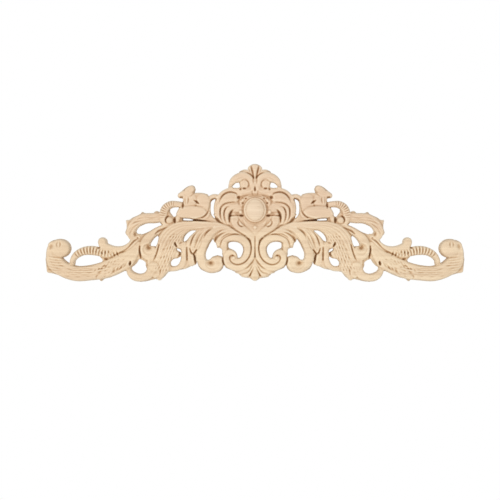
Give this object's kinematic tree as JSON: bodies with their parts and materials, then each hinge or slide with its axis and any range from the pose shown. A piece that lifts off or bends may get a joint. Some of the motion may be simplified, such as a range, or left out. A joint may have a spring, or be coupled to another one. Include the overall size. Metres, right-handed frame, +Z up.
{
  "type": "carved wood applique",
  "caption": "Flat-backed pierced wood carving: a domed boss between two long, mirrored acanthus scroll wings that taper to curled tips, with leafy volutes below.",
  "frame": {"origin": "on the flat back, behind the centre of the round boss", "axes": "+X along the length, +Z up as it is fixed, and -Y out of the carved face, so +Y points into the surface that it is fixed to"},
  "size_m": [0.5, 0.02, 0.1408],
  "materials": {
    "wood": "bare, finely sanded"
  },
  "bodies": {
    "root": {"carved_applique": "wood"}
  },
  "joints": []
}
